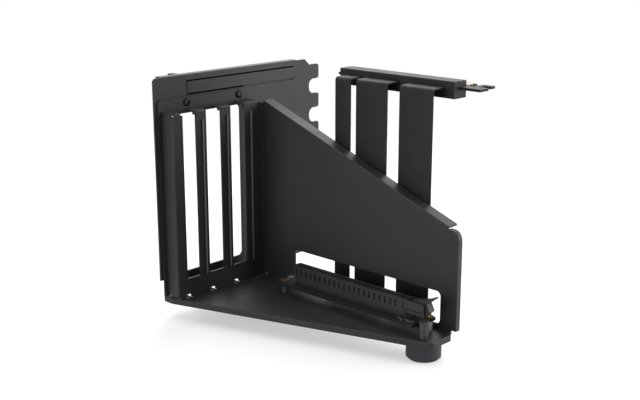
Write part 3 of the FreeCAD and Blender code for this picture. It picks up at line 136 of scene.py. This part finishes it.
# Solder mask over glass laminate: black lacquer that lets the weave under it ripple its dull sheen a little.
solderMask = newMaterial("solderMask", "#171918", 0.56, ior=1.25, shade={"to": "#1a1d1b", "size": 6.0},
                         grain={"size": 0.6, "depth": 0.003}, patches={"size": 2.5, "amount": 0.05})
# Black oxide steel of the screws: dark metal that still gives a small hard highlight.
blackOxide = newMaterial("blackOxide", "#3a3a3d", 0.22, metallic=1.0, shade={"to": "#2e2e30", "size": 1.2},
                         patches={"size": 0.8, "amount": 0.06})
# Turned steel: bright grey with the tool's fine rings round it.
turnedSteel = newMaterial("turnedSteel", "#a4a5a7", 0.48, metallic=1.0, shade={"to": "#8f9092", "size": 2.5},
                          patches={"size": 1.5, "amount": 0.06}, ribs={"pitch": 0.4, "depth": 0.004, "along": "Z"})
# Blued steel: a turned post with a thin dark skin, so it shows as a dull grey streak.
bluedSteel = newMaterial("bluedSteel", "#5b5c5f", 0.5, metallic=1.0, shade={"to": "#4b4c4e", "size": 2.5},
                         patches={"size": 1.5, "amount": 0.06}, ribs={"pitch": 0.4, "depth": 0.004, "along": "Z"})
# Anodised aluminium: black dye in a turned skin, so a soft streak runs up the post.
anodisedAluminium = newMaterial("anodisedAluminium", "#262627", 0.36, shade={"to": "#2c2c2d", "size": 3.0},
                                patches={"size": 2.0, "amount": 0.05},
                                ribs={"pitch": 0.4, "depth": 0.003, "along": "Z"})
# Bare copper pad: reddish metal, a little tarnished.
bareCopper = newMaterial("bareCopper", "#b98a66", 0.4, metallic=1.0, shade={"to": "#8f6444", "size": 1.0},
                         patches={"size": 0.8, "amount": 0.08})
# Brass screw: dulled yellow metal, darker where it has browned.
dullBrass = newMaterial("dullBrass", "#6f5f3c", 0.38, metallic=1.0, shade={"to": "#4a4130", "size": 1.0},
                        patches={"size": 0.8, "amount": 0.08})
# Hard gold plating on the contacts: warm, clean and quite smooth.
goldPlating = newMaterial("goldPlating", "#d0a24c", 0.3, metallic=1.0, shade={"to": "#c39545", "size": 1.5},
                          patches={"size": 1.0, "amount": 0.05})
# Fired ceramic of the chips: chalky dark grey.
firedCeramic = newMaterial("firedCeramic", "#343635", 0.55, shade={"to": "#454746", "size": 0.6},
                           grain={"size": 0.2, "depth": 0.003})
# Painted shadow: a near-black, fully matt coat that takes up nearly all the light, so a groove reads as a black line of
# shade.
grooveShadowCoat = newMaterial("grooveShadowCoat", "#070707", 0.95, ior=1.05, shade={"to": "#0c0c0c", "size": 2.0},
                       grain={"size": 0.5, "depth": 0.02})
# Tinned chip ends: soft grey solder metal.
tinnedEnds = newMaterial("tinnedEnds", "#8f9193", 0.42, metallic=1.0, shade={"to": "#7a7c7f", "size": 0.5},
                         patches={"size": 0.4, "amount": 0.08})

finishes = {
    "rear_plate": powderCoat, "bracket_sheet": powderCoat, "frame_screws": blackOxide,
    "rubber_foot": mouldedRubber, "foot_screw": blackOxide, "left_standoff": bluedSteel,
    "right_post": anodisedAluminium, "back_standoff": turnedSteel, "socket_board": solderMask,
    "copper_ring": bareCopper, "steel_ring": turnedSteel, "board_screw": dullBrass, "socket_body": mouldedNylon,
    "latch": mouldedNylon, "plug_upper_shell": mouldedAbs, "plug_lower_shell": mouldedAbs,
    "edge_board": solderMask, "gold_fingers": goldPlating,
}
# Edges of the folded and moulded pieces are broken by a small radius; lengths in mm, the angle in degrees.
softEdges = {
    "radius": {"rear_plate": 0.15, "bracket_sheet": 0.18, "socket_board": 0.1, "socket_body": 0.12, "latch": 0.25,
               "plug_upper_shell": 0.2, "plug_lower_shell": 0.2, "edge_board": 0.1},
    "weld": 0.002, "steps": 2, "sharpOver": 35,
}
for name, finish in finishes.items():
    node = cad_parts[name]
    node.data.materials.clear()
    node.data.materials.append(finish)
    if name in softEdges["radius"]:
        weld = node.modifiers.new("weld", "WELD")
        weld.merge_threshold = softEdges["weld"] * mm
        bevel = node.modifiers.new("softEdges", "BEVEL")
        bevel.width = softEdges["radius"][name] * mm
        bevel.segments = softEdges["steps"]
        bevel.limit_method = "ANGLE"
        bevel.angle_limit = math.radians(softEdges["sharpOver"])
        bevel.harden_normals = False
print("stage: CAD pieces finished")


def addObject(name, data):
    made = bpy.data.objects.new(name, data)
    bpy.context.scene.collection.objects.link(made)
    return made


def takeMesh(holder):
    # what the holder's curve or nodes give, as a plain mesh; the holder goes
    bpy.context.view_layer.update()
    mesh = bpy.data.meshes.new_from_object(holder.evaluated_get(bpy.context.evaluated_depsgraph_get()))
    bpy.data.objects.remove(holder)
    return mesh


def closeMesh(name, shape, material=None):
    mesh = bpy.data.meshes.new(name)
    shape.to_mesh(mesh)
    shape.free()
    if material:
        mesh.materials.append(material)
    return mesh


def addBlock(shape, centre, size, turn=0.0):
    corners = bmesh.ops.create_cube(shape, size=1.0)["verts"]
    bmesh.ops.scale(shape, vec=size, verts=corners)
    bmesh.ops.rotate(shape, verts=corners, cent=(0, 0, 0), matrix=Matrix.Rotation(turn, 3, "Z"))
    bmesh.ops.translate(shape, vec=centre, verts=corners)
    return corners


def skinRings(shape, rings):
    # walls from ring to ring and a flat face at each end
    for a, b in zip(rings, rings[1:]):
        for k in range(len(a)):
            shape.faces.new((a[k], a[k - 1], b[k - 1], b[k]))
    shape.faces.new(rings[0])
    shape.faces.new(rings[-1][::-1])
    bmesh.ops.recalc_face_normals(shape, faces=shape.faces)


def finishMesh(name, mesh, body, replaced=()):
    piece = addObject(name, mesh)
    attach(piece, body)
    if replaced:
        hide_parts(*replaced)
    return piece


# Riser ribbons: flat jackets that follow one line out of the socket board, through the window and up to the plug.
ribbons = {
    "thick": 1.0, "edge": 0.42, "edgeSteps": 3, "smooth": 12,
    "line": [(-8.75, -60.8), (5.55, -60.8), (9.95, -60.8), (9.95, -56.4), (9.95, 64.6), (9.95, 69.0), (14.35, 69.0),
             (24.75, 69.0)],  # depth and height of the route's points
    "nodes": ["ribbon_one", "ribbon_two", "ribbon_three"],
    "plug": [["plug_lower_shell"], ["edge_board", "gold_fingers"], ["plug_upper_shell"]],  # what each ribbon ends in
}


def ribbonPath(name, middle):
    curve = bpy.data.curves.new(name, "CURVE")
    curve.dimensions = "3D"
    spline = curve.splines.new("NURBS")
    spline.points.add(len(ribbons["line"]) - 1)
    for spot, (y, z) in zip(spline.points, ribbons["line"]):
        spot.co = (middle, y * mm, z * mm, 1)
    spline.order_u = 3
    spline.use_endpoint_u = True
    spline.resolution_u = ribbons["smooth"]
    return [vertex.co.copy() for vertex in takeMesh(addObject(name, curve)).vertices]


def ribbonMesh(name, path, width):
    half, thick, edge = width / 2, ribbons["thick"] * mm / 2, ribbons["edge"] * mm
    section = []
    for centreX, centreN, start in ((half - edge, thick - edge, 0), (edge - half, thick - edge, 90),
                                    (edge - half, edge - thick, 180), (half - edge, edge - thick, 270)):
        for k in range(ribbons["edgeSteps"] + 1):
            turn = math.radians(start + 90 / ribbons["edgeSteps"] * k)
            section.append((centreX + edge * math.cos(turn), centreN + edge * math.sin(turn)))
    shape = bmesh.new()
    rings = []
    side = Vector((1, 0, 0))
    for i, spot in enumerate(path):
        way = (path[min(i + 1, len(path) - 1)] - path[max(i - 1, 0)]).normalized()
        normal = side.cross(way).normalized()
        rings.append([shape.verts.new(spot + side * u + normal * v) for u, v in section])
    skinRings(shape, rings)
    for face in shape.faces:
        face.smooth = len(face.verts) == 4
    return closeMesh(name, shape, pvcFilm)


for number, name in enumerate(ribbons["nodes"]):
    low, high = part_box(name)
    width, middle = high.x - low.x, (high.x + low.x) / 2
    path = ribbonPath(f"ribbonLine{number}", middle)
    piece = finishMesh(f"riserRibbon{number}", ribbonMesh(f"riserRibbon{number}", path, width), "bracket",
                       [name])

# Socket contacts: rows of sprung blades down both sides of the card slit, made by one node tree.
contacts = {"pitch": 1.0, "wide": 0.7, "thick": 0.22, "tall": 5.2, "below": 1.9, "slit": 1.9, "margin": 0.7,
            "keyFrom": 17.8, "keyLong": 1.7, "wallEnd": 3.9, "shortCount": 11, "longCount": 71}


def bladeMesh():
    shape = bmesh.new()
    addBlock(shape, (0, 0, 0), [contacts[side] * mm for side in ("wide", "thick", "tall")])
    return closeMesh("contactBlade", shape)


def rowTree(material):
    # one mesh set out in an even row
    tree = bpy.data.node_groups.new("evenRow", "GeometryNodeTree")
    for label, kind in (("Piece", "Geometry"), ("Count", "Int"), ("Start", "Vector"), ("Step", "Vector")):
        tree.interface.new_socket(label, in_out="INPUT", socket_type="NodeSocket" + kind)
    tree.interface.new_socket("Row", in_out="OUTPUT", socket_type="NodeSocketGeometry")
    given = addNode(tree, "NodeGroupInput")
    line = addNode(tree, "GeometryNodeMeshLine",
                   [("Count", given, "Count"), ("Start Location", given, "Start"), ("Offset", given, "Step")])
    placed = addNode(tree, "GeometryNodeInstanceOnPoints", [("Points", line, "Mesh"), ("Instance", given, "Piece")])
    real = addNode(tree, "GeometryNodeRealizeInstances", [("Geometry", placed, "Instances")])
    coated = addNode(tree, "GeometryNodeSetMaterial", [("Geometry", real, "Geometry")], [("Material", material)])
    addNode(tree, "NodeGroupOutput", [("Row", coated, "Geometry")])
    return tree


def rowMesh(tree, mesh, start, step, count):
    holder = addObject("rowHolder", mesh)
    maker = holder.modifiers.new("row", "NODES")
    maker.node_group = tree
    ids = {item.name: item.identifier for item in tree.interface.items_tree if item.in_out == "INPUT"}
    maker[ids["Count"]] = count
    maker[ids["Start"]] = start
    maker[ids["Step"]] = step
    return takeMesh(holder)


socketLow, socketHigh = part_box("socket_body")
slitMiddle = (socketLow.y + socketHigh.y) / 2
bladeHeight = socketHigh.z - (contacts["below"] + contacts["tall"] / 2) * mm
keyStart = socketLow.x + contacts["keyFrom"] * mm
shortStart = socketLow.x + (contacts["wallEnd"] + contacts["margin"]) * mm
longStart = keyStart + (contacts["keyLong"] + contacts["margin"]) * mm
contactTree = rowTree(goldPlating)
contactStep = (contacts["pitch"] * mm, 0, 0)
gathered = bmesh.new()
for side in (-1, 1):
    y = slitMiddle + side * (contacts["slit"] - contacts["thick"]) / 2 * mm
    for start, count in ((shortStart, contacts["shortCount"]), (longStart, contacts["longCount"])):
        gathered.from_mesh(rowMesh(contactTree, bladeMesh(), (start, y, bladeHeight), contactStep, count))
finishMesh("socketContacts", closeMesh("socketContacts", gathered, goldPlating), "bracket")
print("stage: socket contacts")

# Small parts on the board's right end: chips with bright ends. Each spot is x, y and a turn in degrees.
chips = {"spots": [(146.8, -18.4, 0), (149.6, -19.6, 90), (151.6, -18.2, 0), (154.2, -19.4, 0), (156.2, -18.3, 90)],
         "long": 2.0, "wide": 1.25, "tall": 0.6, "end": 0.45}
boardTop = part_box("socket_board")[1].z


def chipMesh(name, blocks, material):
    shape = bmesh.new()
    for centre, size, turn in blocks:
        addBlock(shape, centre, size, turn)
    return closeMesh(name, shape, material)


bodies, caps = [], []
for x, y, degrees in chips["spots"]:
    turn = math.radians(degrees)
    centre = Vector((x * mm, y * mm, boardTop + chips["tall"] / 2 * mm))
    along = Vector((math.cos(turn), math.sin(turn), 0))
    bodyLong = (chips["long"] - 2 * chips["end"]) * mm
    bodies.append((centre, (bodyLong, chips["wide"] * mm, chips["tall"] * mm), turn))
    for sign in (-1, 1):
        caps.append((centre + along * sign * (chips["long"] - chips["end"]) / 2 * mm,
                     (chips["end"] * mm, chips["wide"] * mm, chips["tall"] * mm), turn))
finishMesh("boardChips", chipMesh("boardChips", bodies, firedCeramic), "bracket")
finishMesh("boardChipEnds", chipMesh("boardChipEnds", caps, tinnedEnds), "bracket")
print("stage: board chips")

# Painted shadow: near-black matt strips laid in the two long grooves of the rear plate's pressed strip, darkening them
# as shade. Each line is its low, high and right end.
shadow = {"floor": 0.36, "crest": 0.66, "left": -52.4, "lines": [(65.85, 66.75, 41.6), (57.55, 58.45, -4.0)],
        "round": 0.12, "roundSteps": 3}
# Beads where the coat has run across the slit under the slot frame's foot, beside each tongue hole.
footBeads = {"low": (13.1, -63.08, -70.4), "high": (13.49, -55.22, -69.15), "pitch": 20.32, "count": 3,
             "round": 0.12, "roundSteps": 3}


def barsMesh(name, boxes, bar, material):
    # boxes: low and high corner in mm; the edges of each +x face are rounded
    shape = bmesh.new()
    crest = []
    for low, high in boxes:
        low, high = Vector(low) * mm, Vector(high) * mm
        corners = addBlock(shape, (low + high) / 2, high - low)
        outer = {vert for vert in corners if vert.co.x > (low.x + high.x) / 2}
        crest += {edge for vert in outer for edge in vert.link_edges if outer.issuperset(edge.verts)}
    bmesh.ops.bevel(shape, geom=crest, offset=bar["round"] * mm, segments=bar["roundSteps"], affect="EDGES",
                    profile=0.5)
    return closeMesh(name, shape, material)


# Painted shadow: a near-black strip in each groove.
shadowBoxes = [((shadow["floor"], shadow["left"], low), (shadow["crest"], right, high))
             for low, high, right in shadow["lines"]]
finishMesh("grooveShadowStrips", barsMesh("grooveShadowStrips", shadowBoxes, shadow, grooveShadowCoat), "bracket")
bead = barsMesh("footBeads", [(footBeads["low"], footBeads["high"])], footBeads, powderCoat)
beadRow = rowMesh(rowTree(powderCoat), bead, (0, 0, 0), (0, footBeads["pitch"] * mm, 0), footBeads["count"])
finishMesh("footBeads", beadRow, "bracket")
print("stage: groove seal and foot beads")

# Guide ridges on the slot frame's bars: a thin light strip laid on each crest paints the highlight, a lighter line down
# each bar.
crests = {"first": -50.59, "pitch": 20.32, "count": 3, "top": 14.4, "round": 0.75, "flat": 0.1, "reach": 0.55,
          "proud": 0.03, "sunk": 0.15, "low": -56.9, "high": 43.5, "steps": 8}


def crestMesh():
    outline = []
    for k in range(crests["steps"] + 1):
        across = crests["reach"] * (2 * k / crests["steps"] - 1)
        beyond = max(0, abs(across) - crests["flat"])
        fall = crests["round"] - math.sqrt(crests["round"] ** 2 - beyond ** 2)
        outline.append((crests["top"] + crests["proud"] - fall, crests["first"] + across))
    under = outline[0][0] - crests["sunk"]
    outline += [(under, outline[-1][1]), (under, outline[0][1])]
    shape = bmesh.new()
    skinRings(shape, [[shape.verts.new(Vector((x, y, z)) * mm) for x, y in outline]
                      for z in (crests["low"], crests["high"])])
    return closeMesh("crestHighlightStrips", shape)


# Painted highlight: one light strip along each ridge crest.
crestRow = rowMesh(rowTree(crestHighlightCoat), crestMesh(), (0, 0, 0), (0, crests["pitch"] * mm, 0), crests["count"])
finishMesh("crestHighlightStrips", crestRow, "bracket")
print("stage: ridge crests")

# Return of the card panel carried on round its upper right corner, up to the end of the brim.
cornerReturn = {"middle": (167.9, -13.43), "round": 6.0, "thick": 1.2, "from": 1.15, "deep": 3.6, "down": 1.55,
                "left": 166.1, "steps": 12, "edge": 0.18, "edgeSteps": 2, "sharpOver": 80}


def cornerMesh():
    outer, inner = cornerReturn["round"], cornerReturn["round"] - cornerReturn["thick"]
    front, back = cornerReturn["from"], cornerReturn["deep"]
    centreX, centreZ = cornerReturn["middle"]
    line = [(1, 0, -cornerReturn["down"])]  # outward direction, and how far down the straight end goes
    for k in range(cornerReturn["steps"] + 1):
        turn = math.pi / 2 * k / cornerReturn["steps"]
        line.append((math.cos(turn), math.sin(turn), 0))
    shape = bmesh.new()
    rings = []
    for u, v, drop in line:
        rings.append([shape.verts.new(Vector((centreX + u * r, y, centreZ + v * r + drop)) * mm)
                      for r, y in ((outer, front), (outer, back), (inner, back), (inner, front))])
    rings.append([shape.verts.new(Vector((cornerReturn["left"] * mm, vert.co.y, vert.co.z))) for vert in rings[-1]])
    skinRings(shape, rings)
    sharpOver = math.radians(cornerReturn["sharpOver"])
    sharp = [edge for edge in shape.edges if edge.calc_face_angle(0) > sharpOver]
    bmesh.ops.bevel(shape, geom=sharp, offset=cornerReturn["edge"] * mm, segments=cornerReturn["edgeSteps"],
                    affect="EDGES", profile=0.5)
    return closeMesh("cornerReturn", shape, powderCoat)


finishMesh("cornerReturn", cornerMesh(), "bracket")
print("stage: corner return")

# Stage: pale floor that turns into the white round it, four soft round lamps, and the photograph's camera.
studio = {
    "floorDrop": -84.3, "floorSize": 12.0, "floorColour": "#c8c8c8", "floorRoughness": 0.9, "floorLift": 0.46,
    "floorMiddle": (80, -30), "whiteFrom": 300, "whiteBy": 750,  # the floor's own shade ends between these radii
    "cameraPlace": (505.27, -465.09, 161.21), "yaw": 43.38, "pitch": 14.85, "lens": 58.82, "sensor": 36.0,
    "nearest": 10,
    "lamps": [
        {"name": "backLamp", "place": (-345, 538, 556), "aim": (60, -20, -20), "size": 0.9, "power": 5.5},
        {"name": "topLamp", "place": (100, -60, 900), "aim": (90, -40, -20), "size": 1.2, "power": 5.0},
        {"name": "rightLamp", "place": (717, 565, 200), "aim": (0, 20, 20), "size": 0.7, "power": 6.0},
        {"name": "frontLamp", "place": (-30, -910, 100), "aim": (60, -20, -20), "size": 0.6, "power": 2.4},
    ],
    "worldGrey": "#a0a0a0",
}


def seenRays(tree):
    # 1 where the camera looks at it, straight, in a mirror or through glass
    rays = addNode(tree, "ShaderNodeLightPath")
    mirrored = addNode(tree, "ShaderNodeMath", [(0, rays, "Is Camera Ray"), (1, rays, "Is Glossy Ray")],
                       operation="MAXIMUM")
    return addNode(tree, "ShaderNodeMath", [(0, mirrored, 0), (1, rays, "Is Transmission Ray")],
                   operation="MAXIMUM")


def aimed(place, way):
    return Matrix.Translation(place) @ way.to_track_quat("-Z", "Y").to_matrix().to_4x4()


floorMesh = bpy.data.meshes.new("floor")
reach = studio["floorSize"] / 2
floorHeight = studio["floorDrop"] * mm
floorMesh.from_pydata([(x * reach, y * reach, floorHeight) for x, y in ((-1, -1), (1, -1), (1, 1), (-1, 1))],
                      [], [(0, 1, 2, 3)])
floor = addObject("floor", floorMesh)
paleFloor = newMaterial("paleFloor", studio["floorColour"], studio["floorRoughness"])
floorTree = paleFloor.node_tree
floorShader = floorTree.nodes["Principled BSDF"]
floorShader.inputs["Emission Color"].default_value = pureWhite
floorSeen = seenRays(floorTree)
floorLift = addNode(floorTree, "ShaderNodeMath", [(0, floorSeen, 0)], [(1, studio["floorLift"])],
                    operation="MULTIPLY")
floorTree.links.new(floorLift.outputs[0], floorShader.inputs["Emission Strength"])
floorMiddle = (*(v * mm for v in studio["floorMiddle"]), floorHeight)
floorAway = addNode(floorTree, "ShaderNodeVectorMath", [(0, floorTree.nodes["Texture Coordinate"], "Object")],
                    [(1, floorMiddle)], operation="DISTANCE")
floorFade = addNode(floorTree, "ShaderNodeMapRange", [("Value", floorAway, "Value")],
                    [("From Min", studio["whiteFrom"] * mm), ("From Max", studio["whiteBy"] * mm)],
                    interpolation_type="SMOOTHSTEP")
floorShare = addNode(floorTree, "ShaderNodeMath", [(0, floorFade, "Result"), (1, floorSeen, 0)], operation="MULTIPLY")
floorWhite = addNode(floorTree, "ShaderNodeEmission", [], [("Color", pureWhite), ("Strength", 1.0)])
floorBoth = addNode(floorTree, "ShaderNodeMixShader",
                    [(0, floorShare, 0), (1, floorShader, "BSDF"), (2, floorWhite, "Emission")])
floorTree.links.new(floorBoth.outputs[0], floorTree.nodes["Material Output"].inputs["Surface"])
floorMesh.materials.append(paleFloor)

world = bpy.data.worlds.new("studioWorld")
bpy.context.scene.world = world
world.use_nodes = True
sky = world.node_tree
sky.nodes.clear()
dim = addNode(sky, "ShaderNodeBackground", [], [("Color", linear(studio["worldGrey"]))])
white = addNode(sky, "ShaderNodeBackground", [], [("Color", pureWhite)])
both = addNode(sky, "ShaderNodeMixShader", [(0, seenRays(sky), 0), (1, dim, 0), (2, white, 0)])
addNode(sky, "ShaderNodeOutputWorld", [("Surface", both, 0)])

for lamp in studio["lamps"]:
    light = bpy.data.lights.new(lamp["name"], "AREA")
    light.shape = "DISK"
    light.size = lamp["size"]
    light.energy = lamp["power"]
    place, aim = (Vector(lamp[key]) * mm for key in ("place", "aim"))
    addObject(lamp["name"], light).matrix_world = aimed(place, aim - place)

yaw, pitch = math.radians(studio["yaw"]), math.radians(studio["pitch"])
ahead = Vector((-math.sin(yaw) * math.cos(pitch), math.cos(yaw) * math.cos(pitch), -math.sin(pitch)))
lensData = bpy.data.cameras.new("photoCamera")
lensData.lens = studio["lens"]
lensData.sensor_width = studio["sensor"]
lensData.clip_start = studio["nearest"] * mm
camera = addObject("photoCamera", lensData)
camera.matrix_world = aimed(Vector(studio["cameraPlace"]) * mm, ahead)
bpy.context.scene.camera = camera
bpy.context.scene.view_settings.view_transform = "Standard"
print("stage: studio")
